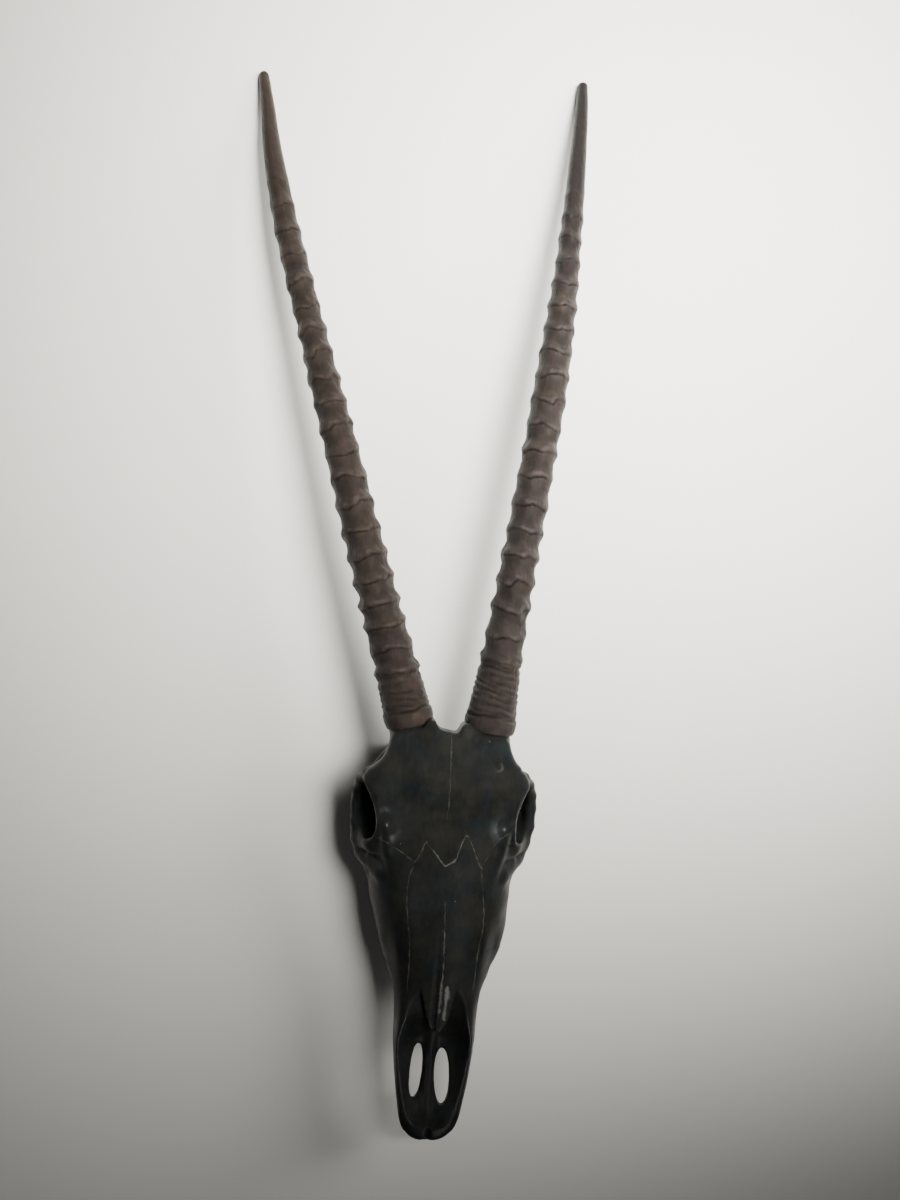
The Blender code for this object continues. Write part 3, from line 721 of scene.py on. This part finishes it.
broken = (nodes.noise(point, 8.0, 4.0) * 5.0 + 0.5).kept()
# painted highlight: the suture lines are lighter around the nasals' midline and behind the nasals
suture_highlight = ((1 - (point - (2, -200, 112)).length() / 42) * 2.0).kept()
suture_highlight = suture_highlight + ((1 - (point - (2, -104, 124)).length() / 20) * 1.6).kept()
flat_point = nodes.vector(x, y, 0.0)
# painted highlight: two light streaks on the nasals' tips, one beside the midline and one on it
nasal_highlight = (close_to(flat_point, (7.0, -221, 0), (5.6, -250, 0), 1.8) * 1.2 +
             close_to(flat_point, (7.0, -224, 0), (7.2, -231, 0), 3.0)) * on_top * (broken + 0.7).kept()
nasal_highlight = nasal_highlight + close_to(flat_point, (2.0, -219, 0), (1.2, -244, 0), 1.7) * on_top * broken
# lighter colour of worn sutures and palate lines, with the painted highlight on the nasals
wear_and_highlight = sutures * (broken * 0.65 + 0.15 + suture_highlight * 0.4) + palate_lines * 0.5 * broken + nasal_highlight * 1.1
wear_and_highlight = wear_and_highlight.kept()
sharpness = nodes.get("ShaderNodeAttribute", attribute_name="sharpness", output="Fac")
edges = ((sharpness - 0.13) * 5).kept() * (nodes.noise(point, 5.0, 4.0) * 1.6 + 0.55).kept()
furrows = ((-0.06 - sharpness) * 6).kept()
patches = nodes.noise(point, 34.0, 3.0)
tints = nodes.noise(point + (90, 40, 10), 21.0, 2.0)
streaks = nodes.noise(point * (1, 0.12, 1), 2.4, 3.0)
cells = {"Vector": point * 0.085, "Scale": 1.0}
specks = nodes.get("ShaderNodeTexVoronoi", output="Distance", named=cells)
size = nodes.get("ShaderNodeTexVoronoi", output="Color", named=cells).parts()[0]
specks = (1 - specks / 0.035).kept() * ((size - 0.55) * 8).kept()
# painted highlight: a light crescent on one side of the pit's rim
pit_highlight = line_at((jagged - (41.5, -27, 125)).length() - 4.0, 1.2)
pit_highlight = pit_highlight * ((x - y - 65) / 7).kept() * (broken + 0.3)

grime = nodes.noise(point * (1, 0.5, 1), 4.5, 5.0, 0.65)
colour = nodes.mix((patches * 3.0 + 0.5).kept(), (0.0044, 0.0049, 0.0049), (0.0108, 0.0110, 0.0098))
colour = painted(nodes, colour, (
    ((tints * 4.0).kept() * 0.75, (0.0052, 0.0086, 0.0102)),
    ((tints * -4.0).kept() * 0.5, (0.0150, 0.0142, 0.0085)),
    ((streaks * 3.0 + 0.05).kept() * 0.3, (0.0165, 0.0170, 0.0155)),
    ((grime * 3.6 - 0.1).kept() * 0.4, (0.0190, 0.0185, 0.0165)),
    ((grime * -3.6 - 0.1).kept() * 0.6, (0.0032, 0.0036, 0.0038)),
    (furrows * 0.7, (0.0030, 0.0030, 0.0032)),
    (edges * 0.4, (0.0360, 0.0355, 0.0320)),
    (pit_highlight.kept() * 0.6, (0.0450, 0.0430, 0.0370)),
    (wear_and_highlight * 0.8, (0.1000, 0.0970, 0.0840)),
    (specks * 0.8, (0.4200, 0.4100, 0.3800)),
))
dull = nodes.noise(point + (15, 60, 30), 12.0, 4.0)
rough = 0.42 + patches * 0.16 + dull * 0.16 + streaks * 0.08 + wear_and_highlight * 0.2 + furrows * 0.2 - edges * 0.06
rough = rough.above(0.2).below(0.8)
pores = (nodes.noise(point, 1.3, 3.0) - 0.17).above(0.0) * -1.4
height = pores + nodes.noise(point, 2.6, 3.0) * 0.22 + nodes.noise(point * (1, 0.1, 1), 1.2, 2.0) * 0.10
height = height - sutures * 0.9 - palate_lines * 0.6 + specks * 0.5
lead_in(nodes, shader, colour, rough, height, 0.55, 0.0006)

# a polish, where the bone was rubbed: beside the orbits, behind the nasals and on their tips, and along the
# mouth's rims
polish = edges * 0.5
for centre, reach in (((-53, -80, 122), 18), ((52, -80, 122), 18), ((3, -116, 124), 13)):
    polish = polish + ((1 - (point - centre).length() / reach) * 1.3).kept()
folded_point = nodes.vector(abs(x), y, z)
rim = ((38, -236, 100), (34, -262, 93), (31.5, -300, 86), (27, -335, 86), (20, -354, 90), (6, -364, 92))
polish = polish + nasal_highlight * 1.5
for start, end in zip(rim, rim[1:]):
    polish = polish + close_to(folded_point, start, end, 11) * 1.6
polish = polish * (dull * 1.6 + 0.9).kept()
nodes.tree.links.new(polish.kept().socket, shader.inputs["Coat Weight"])
shader.inputs["Coat Roughness"].default_value = 0.22
shader.inputs["Specular IOR Level"].default_value = 0.17

group = new_group("skull_bone")
shape = grid_shape(group, skull_field(group), *SKULL_BOX, SKULL_GRID)
finish_group(group, shape, bone)
skull = made_real("skull_bone", group.tree, faces=SKULL_FACES)
skull.data.transform(Matrix.Translation(RIDGE * MM))
store_sharpness(skull.data, 2)
place_piece(skull, "skull")


# ---- horns ------------------------------------------------------------------------------------------------
# Two sheaths of brown keratin, ringed over most of their length and smooth at the tip. Each is a fine tube
# along a Bezier curve. Its radius swells at each ring, and the rings wander, so that no two are alike; the
# foot has a rim and tight uneven folds.

HORN_STEP = 0.95
HORN_SIDES = 110
HORN_LENGTHS = {"horn_left": 625.0, "horn_right": 622.0}
RING_MARKS = {  # distance from the base at which the first ring, the sixth and so on stand
    "horn_left": (50.6, 150, 268, 379, 481),
    "horn_right": (64.5, 178, 296, 407, 498),
}


def horn_group(material):
    """The node group of a horn. Its curve, its length, its ring marks and its seed are inputs."""
    nodes = new_group("ringed_horn")
    tree = nodes.tree
    for name in ("Base", "Base Handle", "Tip Handle", "Tip"):
        tree.interface.new_socket(name, in_out="INPUT", socket_type="NodeSocketVector")
    for name in ("Length", "Ring 0", "Ring 5", "Ring 10", "Ring 15", "Ring 19", "Difference", "Seed"):
        tree.interface.new_socket(name, in_out="INPUT", socket_type="NodeSocketFloat")
    given = {socket.name: Value(nodes, socket) for socket in nodes.add("NodeGroupInput").outputs}

    course = nodes.get(
        "GeometryNodeCurvePrimitiveBezierSegment", 400, given["Base"], given["Base Handle"],
        given["Tip Handle"], given["Tip"], mode="POSITION")
    course = nodes.get("GeometryNodeResampleCurve", course, mode="LENGTH", named={"Length": HORN_STEP})
    keep = nodes.tree.nodes.new("GeometryNodeCaptureAttribute")
    keep.capture_items.new("VECTOR", "centre")
    keep.capture_items.new("FLOAT", "along")
    nodes.tree.links.new(course.socket, keep.inputs[0])
    nodes.tree.links.new(nodes.get("GeometryNodeInputPosition").socket, keep.inputs[1])
    nodes.tree.links.new(nodes.get("GeometryNodeSplineParameter", output="Length").socket, keep.inputs[2])
    centre, along = Value(nodes, keep.outputs[1]), Value(nodes, keep.outputs[2])
    ring = nodes.get("GeometryNodeCurvePrimitiveCircle", HORN_SIDES, mode="RADIUS", named={"Radius": 1.0})
    course = Value(nodes, keep.outputs[0])
    tube = nodes.get("GeometryNodeCurveToMesh", course, ring, named={"Fill Caps": True})

    point = nodes.get("GeometryNodeInputPosition")
    outward = point.nodes.get("ShaderNodeVectorMath", point - centre, operation="NORMALIZE")
    seed = given["Seed"]
    drift = nodes.vector(seed, seed * 0.5, seed * 0.25)
    around = outward * 9.0 + drift

    # rings: a number that passes a whole value at each crest, and wanders around the horn. A fine groove runs
    # under each crest here and there
    marks = [given[name] for name in ("Ring 0", "Ring 5", "Ring 10", "Ring 15", "Ring 19")]
    number = ((along - marks[0]) / (marks[1] - marks[0]) * 5).below(5.0)
    for low, high, count, most in ((1, 2, 5, 5), (2, 3, 5, 5), (3, 4, 4, 40)):
        number = number + ((along - marks[low]) / (marks[high] - marks[low]) * count).above(0.0).below(most)
    wandering = around * 0.11 + nodes.vector(along * 0.035, 0.0, 0.0)
    number = number + nodes.noise(wandering, 1.0, 2.0, 0.4) * 0.75
    turn = number * math.tau
    wave = (turn + turn.sine() * 0.35 + math.pi / 2).sine()
    swell = wave * 0.5 + 0.5
    below_crest = number + 0.64
    nick = (1 - abs(below_crest - below_crest.whole() - 0.5) / 0.065).kept() ** 1.4
    nick = nick * (nodes.noise(around * 0.3 + nodes.vector(number, 0.0, 0.0), 1.0, 2.0) * 2.6 + 0.7).kept()
    which = {"W": (number + 0.5).whole() + seed}
    each = nodes.get("ShaderNodeTexWhiteNoise", noise_dimensions="1D", named=which)
    uneven = nodes.noise(around * 0.2 + nodes.vector(number * 0.7, 0.0, 0.0), 1.0, 2.0) * 1.2 + 1
    ringed = ((along - marks[0] + 14) / 12).kept() * ((given["Length"] - 105 - along) / 60).kept()
    ring_size = profile(along, [(0, 1.1), (100, 1.3), (200, 1.05), (300, 0.95), (420, 0.85), (520, 0.7)])
    ring_height = (wave * ring_size * (each * 0.6 + 0.7) * uneven - nick * 0.65) * ringed

    # folds near the foot, lumps, and fine furrows along the horn
    fold_drift = nodes.noise(around * 0.12 + nodes.vector(along * 0.06, 0.0, 0.0), 1.0, 3.0) * 2.4
    fold_place = along / 6.5 + fold_drift
    coarse = (fold_place * math.tau).sine()
    fine = nodes.noise(around * 0.14 + nodes.vector(along * 0.62, 0.0, 0.0), 1.0, 2.0)
    strength = nodes.noise(around * 0.2 + nodes.vector(along * 0.16, 0.0, 5.0), 1.0, 2.0)
    strength = (strength * 3.2 + 0.45).kept()
    folded = ((marks[0] + 8 - along) / 14).kept() * ((along - 11) / 4).kept()
    folds = (coarse * strength * 0.85 + fine * 1.0) * folded
    crease = along - 14.5 + nodes.noise(around * 0.1, 1.0, 2.0) * 9
    rim = (1 - abs(crease) / 1.9).above(0.0) * -1.5 - (1 - along / 1.2).above(0.0) ** 2 * 0.8
    lumps = nodes.noise(around * 0.1 + nodes.vector(along * 0.05, 0.0, 0.0), 1.0, 2.0)
    furrow = nodes.noise(outward * 11 + drift + nodes.vector(along * 0.012, 0.0, 0.0), 1.0, 2.0)
    base = profile(along, [
        (0, 20.2), (4, 21.6), (10, 22.2), (14, 21.8), (20, 20.7), (28, 20.1), (45, 19.2), (60, 18.3),
        (80, 17.8), (108, 17.1), (160, 16.4), (238, 15.2), (308, 14.4), (360, 13.0), (400, 12.2), (443, 11.0),
        (480, 10.1), (513, 9.0), (540, 8.1), (564, 7.1), (585, 6.3), (600, 5.7), (614, 4.9), (625, 4.2)])
    unlike = profile(along, [
        (0, -0.6), (20, -0.3), (60, 0.2), (130, 0.5), (200, 0.2), (280, -0.4), (340, -0.65), (400, -0.1),
        (500, 0.6), (540, 0.4), (600, 0.1)])
    radius = base + unlike * given["Difference"] + ring_height + folds + rim + lumps * 0.8 + furrow * 0.3
    left = (given["Length"] - along).above(0.0)
    radius = radius.below((left * 5 + 0.3) ** 0.5)
    sway = profile(along, [
        (0, 0), (60, -1), (130, -2), (220, -0.8), (310, 0.2), (400, -0.4), (500, -2), (580, 0), (620, 0.6)])
    sway = nodes.vector(sway * (given["Difference"] * 0.35 + 0.65), 0.0, 0.0)
    shape = nodes.get("GeometryNodeSetPosition", tube, None, centre + sway + outward * radius)

    stored = {"along": along, "nick": nick * ringed, "swell": swell * ringed, "fold": folds + rim}
    kind = {"data_type": "FLOAT", "domain": "POINT"}
    for name, value in stored.items():
        shape = nodes.get("GeometryNodeStoreNamedAttribute", shape, None, name, value, **kind)
    shape = nodes.get("GeometryNodeTransform", shape, None, None, (MM, MM, MM))
    finish_group(nodes, shape, material)
    return tree


def horn_material(name, body, tip, tip_start):
    """Keratin: brown, dull, darker in the grooves, rubbed where the surface is sharpest, with painted
    highlights on the rings' crests and long fine streaks.
    """
    made, nodes, shader, point = new_material(name)
    stored = {key: nodes.get("ShaderNodeAttribute", attribute_name=key, output="Fac")
              for key in ("along", "nick", "swell", "fold", "sharpness")}
    along = stored["along"]
    streaks = nodes.noise(point * (1, 0.05, 1), 1.5, 3.0)
    fine = nodes.noise(point * (1, 0.1, 1), 0.7, 2.0)
    patches = nodes.noise(point, 17.0, 3.0)
    stains = nodes.noise(point + (50, 20, 70), 10.0, 2.0)
    mottle = nodes.noise(point, 4.0, 4.0)
    tipward = profile(along, [(0, 0), (tip_start, 0), (tip_start + 130, 0.75), (620, 1)])
    deep, dark, low, high = (tuple(part * share for part in body) for share in (0.25, 0.42, 0.75, 1.3))
    light = tuple(part * 2.4 + 0.004 for part in body)
    colour = nodes.mix((patches * 2.6 + 0.5).kept(), low, high)
    between = ((0.45 - stored["swell"]) * (mottle + 1.2)).kept() * (along / 45 - 1).kept()
    # painted highlight: a light patch on each ring's crest
    crest_highlight = ((stored["swell"] - 0.82) * 6).kept() * (nodes.noise(point, 6.0, 2.0) * 4.0 + 0.3).kept()
    worn = ((stored["sharpness"] - 0.09) * 5).kept() * (mottle * 2.4 + 0.6).kept()
    foot = (1 - along / 14).kept() * (patches * 2.0 + 0.4).kept()
    colour = painted(nodes, colour, (
        (tipward, tip),
        ((stains * 4.5 - 0.30).kept() * 0.6, (0.0380, 0.0290, 0.0165)),
        ((stains * -4.5 - 0.35).kept() * 0.55, (0.0340, 0.0165, 0.0155)),
        ((streaks * 3.0 + 0.2).kept() * 0.4, dark),
        ((mottle * 3.0 - 0.2).kept() * 0.3, light),
        (between * 0.7, dark),
        (crest_highlight * 0.45, light),
        ((stored["nick"] * 1.6).kept() * 0.9, deep),
        ((stored["fold"] * -1.3 - 0.1).kept() * 0.75, dark),
        (((-0.05 - stored["sharpness"]) * 5).kept() * 0.8, deep),
        (worn * 0.5, light),
        (foot * 0.35, (0.0400, 0.0290, 0.0210)),
        # painted shade: the sheath's first millimetre is near black, where it meets the bone
        ((1 - along / 1.2).kept(), (0.012, 0.010, 0.009)),
    ))
    rough = 0.50 + mottle * 0.22 + streaks * 0.14 - worn * 0.10 + stored["nick"] * 0.10 - tipward * 0.08
    rough = (rough - crest_highlight * 0.12).above(0.28).below(0.85)
    shader.inputs["Specular IOR Level"].default_value = 0.22
    pores = (nodes.noise(point, 1.1, 3.0) - 0.14).above(0.0) * -2.0
    height = streaks * 0.9 + fine * 0.5 + mottle * 0.35 + pores
    lead_in(nodes, shader, colour, rough, height, 0.7, 0.0005)
    return made


left_keratin = horn_material("keratin_left", (0.0165, 0.0128, 0.0108), (0.025, 0.017, 0.013), 430)
right_keratin = horn_material("keratin_right", (0.0180, 0.0145, 0.0130), (0.011, 0.010, 0.010), 330)
horn_tree = horn_group(left_keratin)
for (name, curve), material, seed in zip(HORNS.items(), (left_keratin, right_keratin), (3.0, 11.0)):
    settings = dict(zip(("Base", "Base Handle", "Tip Handle", "Tip"), curve))
    settings.update(zip(("Ring 0", "Ring 5", "Ring 10", "Ring 15", "Ring 19"), map(float, RING_MARKS[name])))
    difference = 1.0 if name == "horn_left" else -1.0
    settings.update({"Length": HORN_LENGTHS[name], "Seed": seed, "Difference": difference})
    horn = made_real(name + "_sheath", horn_tree, settings)
    horn.data.materials.clear()
    horn.data.materials.append(material)
    horn.data.transform(Matrix.Translation(RIDGE * MM))
    store_sharpness(horn.data, 1)
    place_piece(horn, name)


# ---- cheek teeth ------------------------------------------------------------------------------------------
# Twelve upper teeth, six a side, of blackened enamel. Each is a field again: one or two rounded columns with
# ribs on the cheek side, and on the biting face a crescent of enamel around the pit of each lobe.

TOOTH_GRID = 0.55


def tooth_group(material):
    """The node group of a tooth: its biting face is at z = 0, its cheek side is +x, its row runs along y."""
    nodes = new_group("cheek_tooth")
    for name in ("Width", "Length", "Lobes", "Seed"):
        nodes.tree.interface.new_socket(name, in_out="INPUT", socket_type="NodeSocketFloat")
    given = {socket.name: Value(nodes, socket) for socket in nodes.add("NodeGroupInput").outputs}
    point = nodes.get("GeometryNodeInputPosition")
    x, y, z = point.parts()
    half_width, half_length, lobes = given["Width"] / 2, given["Length"] / 2, given["Lobes"]

    # fold the two lobes of a molar onto one
    shift = (lobes - 1) * half_length * 0.5
    along = y - y.math("SIGN", y) * shift
    half_lobe = half_length / lobes
    across = x / half_width
    forward = along / half_lobe
    narrow = (x / half_width * -0.5 + 0.5).kept() * 0.16
    outline = (abs(across) ** 2.8 + abs(forward * (1 + narrow)) ** 2.8) ** (1 / 2.8)
    column = (outline - 1) * half_lobe.below(half_width)
    rib = (1 - abs(abs(forward) - 0.82) / 0.22).kept() + (1 - abs(forward) / 0.25).kept() * 0.7
    column = column + (1 - rib.kept()) * ((across - 0.2) / 0.6).kept() * 0.75
    pinch = (1 - abs(y) / 1.8).kept() * (lobes - 1) * ((0.1 - across) / 0.5).kept()
    column = column + pinch * 1.5
    body = common(column, -z, blend=0.8)
    body = common(body, z - (CROWN_HEIGHT + ROOT_DEPTH), blend=1.0)
    taper = ((z - CROWN_HEIGHT) / ROOT_DEPTH).kept() * 1.6
    body = body + taper

    # the biting face: worn dentine between ridges of enamel, and a crescent-shaped pit in each lobe
    slope = (across * 0.5 + 0.5) * 1.6
    body = common(body, slope * -1.0 + 1.0 - z, blend=0.5)
    bow = (across + 0.55 - forward * forward * 0.55) / 0.24
    pit = (1 - bow * bow - (forward / 0.85) ** 4).above(0.0).below(0.6) * 4.0
    wear = ((-0.12 - (outline - 1)).kept() * 4).kept() * 0.8
    near_face = (1 - z / 3.6).kept()
    body = body + (pit + wear) * near_face
    body = body + nodes.noise(point + nodes.vector(given["Seed"], 0.0, 0.0), 2.6) * 0.3
    high = CROWN_HEIGHT + ROOT_DEPTH + 1.0
    shape = grid_shape(nodes, body, (-9.5, -14.0, -1.5), (9.5, 14.0, high), TOOTH_GRID)
    finish_group(nodes, shape, material)
    return nodes.tree


enamel, nodes, shader, point = new_material("blackened_enamel")
sharpness = nodes.get("ShaderNodeAttribute", attribute_name="sharpness", output="Fac")
lines = nodes.noise(point * (1, 1, 0.12), 0.9, 3.0)
mottle = nodes.noise(point, 3.0, 3.0)
colour = nodes.mix((mottle * 2.5 + 0.5).kept(), (0.018, 0.017, 0.016), (0.040, 0.038, 0.034))
colour = painted(nodes, colour, (
    ((lines * 2.5 + 0.1).kept() * 0.4, (0.060, 0.056, 0.048)),
    (((sharpness - 0.25) * 2.5).kept() * 0.6, (0.120, 0.112, 0.095)),
    (((-0.12 - sharpness) * 4).kept() * 0.8, (0.006, 0.006, 0.006)),
))
rough = (0.34 + mottle * 0.2 + lines * 0.12).above(0.18).below(0.7)
lead_in(nodes, shader, colour, rough, lines + mottle * 0.5, 0.5, 0.0003)

tooth_tree = tooth_group(enamel)
lean = Matrix.Rotation(-math.atan(ROW_SLOPE), 4, "X")
for index, (name, middle, width, length, lobes) in enumerate(tooth_places()):
    for side_name, hand in (("left", -1), ("right", 1)):
        sizes = {"Width": float(width), "Length": float(length), "Lobes": float(lobes)}
        settings = {**sizes, "Seed": index * 10.0 + hand}
        tooth = made_real(f"{name}_{side_name}_tooth", tooth_tree, settings)
        if hand < 0:
            tooth.data.transform(Matrix.Scale(-1, 4, (1, 0, 0)))
            tooth.data.flip_normals()
        spot = Vector((middle.x * hand, middle.y, middle.z)) + RIDGE
        tooth.data.transform(Matrix.Translation(spot * MM) @ lean)
        store_sharpness(tooth.data, 1)
        place_piece(tooth, f"{name}_{side_name}")


# ---- floor, light and camera ------------------------------------------------------------------------------
# A plain pale floor under soft light from the upper right, and the camera straight above the face. Six more
# lamps stand around the object and show only as gloss on the bone, the horns and the teeth. The lamps' places
# and sizes are in metres in the shared frame.

floor_material, nodes, shader, point = new_material("pale_floor")
shader.inputs["Roughness"].default_value = 0.75
clouds = (nodes.noise(point, 260.0, 2.0) * 1.5 + 0.5).kept()
shade = nodes.mix(clouds, (0.600, 0.592, 0.550), (0.630, 0.622, 0.580))
nodes.tree.links.new(shade.socket, shader.inputs["Base Color"])
bpy.ops.mesh.primitive_plane_add(size=8, location=(0, 0, 0))
floor = bpy.context.object
floor.name = "floor"
floor.data.materials.append(floor_material)


DAYLIGHT = (1.0, 0.99, 0.965)
WHITE = (1.0, 1.0, 1.0)
GLOSS_TARGET = (0.03, -0.3, 0.1)
GLOSS_LAMPS = (  # name, place, size, power
    ("shine_right", (0.58, -0.75, 1.2), (0.22, 0.22), 1.3),
    ("shine_left", (-0.62, -0.75, 1.2), (0.22, 0.22), 1.4),
    ("shine_front", (0.33, -1.31, 0.8), (0.22, 0.22), 1.4),
    ("side_left", (-1.3, 0.1, 0.55), (1.1, 0.6), 4.0),
    ("side_right", (1.4, 0.0, 0.55), (1.1, 0.6), 2.0),
    ("side_back", (-0.2, 1.6, 0.7), (1.1, 0.6), 4.0),
)


def area_light(name, place, target, size, power, colour):
    """A soft rectangular light that faces a point."""
    lamp = bpy.data.lights.new(name, "AREA")
    lamp.shape = "RECTANGLE"
    lamp.size, lamp.size_y = size
    lamp.energy = power
    lamp.color = colour
    made = bpy.data.objects.new(name, lamp)
    bpy.context.scene.collection.objects.link(made)
    made.location = place
    made.rotation_euler = (Vector(target) - Vector(place)).to_track_quat("-Z", "Y").to_euler()
    return made


key = area_light("key", (0.55, 0.42, 1.4), (0.2, 0.37, 0), (0.8, 0.8), 17.5, DAYLIGHT)
key.data.spread = math.radians(47.5)
key.visible_glossy = False
low = area_light("low", (1.2, 0.45, 0.9), (0.05, 0.25, 0), (0.8, 0.8), 8, DAYLIGHT)
low.data.spread = math.radians(70)
low.visible_glossy = False
for name, place, size, power in GLOSS_LAMPS:
    lamp = area_light(name, place, GLOSS_TARGET, size, power, WHITE)
    lamp.visible_diffuse = False

world = bpy.data.worlds.new("room")
world.use_nodes = True
world.node_tree.nodes["Background"].inputs["Color"].default_value = (0.93, 0.93, 0.95, 1)
world.node_tree.nodes["Background"].inputs["Strength"].default_value = 0.05
bpy.context.scene.world = world

YAW = math.radians(3.764)
ROLL = math.radians(2.504)
DISTANCE = 1200
SENSOR = 36
PICTURE_HEIGHT = 1200
FOCAL_PIXELS = 1359
target = Vector((-3.43, 113.08, 78)) + RIDGE
eye = target + DISTANCE * Vector((-math.sin(YAW), 0, math.cos(YAW)))
forward = (target - eye).normalized()
right = forward.cross(Vector((0, 1, 0))).normalized()
up = right.cross(forward)
across = math.cos(ROLL) * right + math.sin(ROLL) * up
upright = math.cos(ROLL) * up - math.sin(ROLL) * right
camera_data = bpy.data.cameras.new("camera")
camera_data.sensor_width = SENSOR
camera_data.lens = SENSOR * FOCAL_PIXELS / PICTURE_HEIGHT
camera_data.clip_start = 0.01
camera = bpy.data.objects.new("camera", camera_data)
bpy.context.scene.collection.objects.link(camera)
turn = Matrix((across, upright, -forward)).transposed()
camera.matrix_world = Matrix.Translation(eye * MM) @ turn.to_4x4()
bpy.context.scene.camera = camera
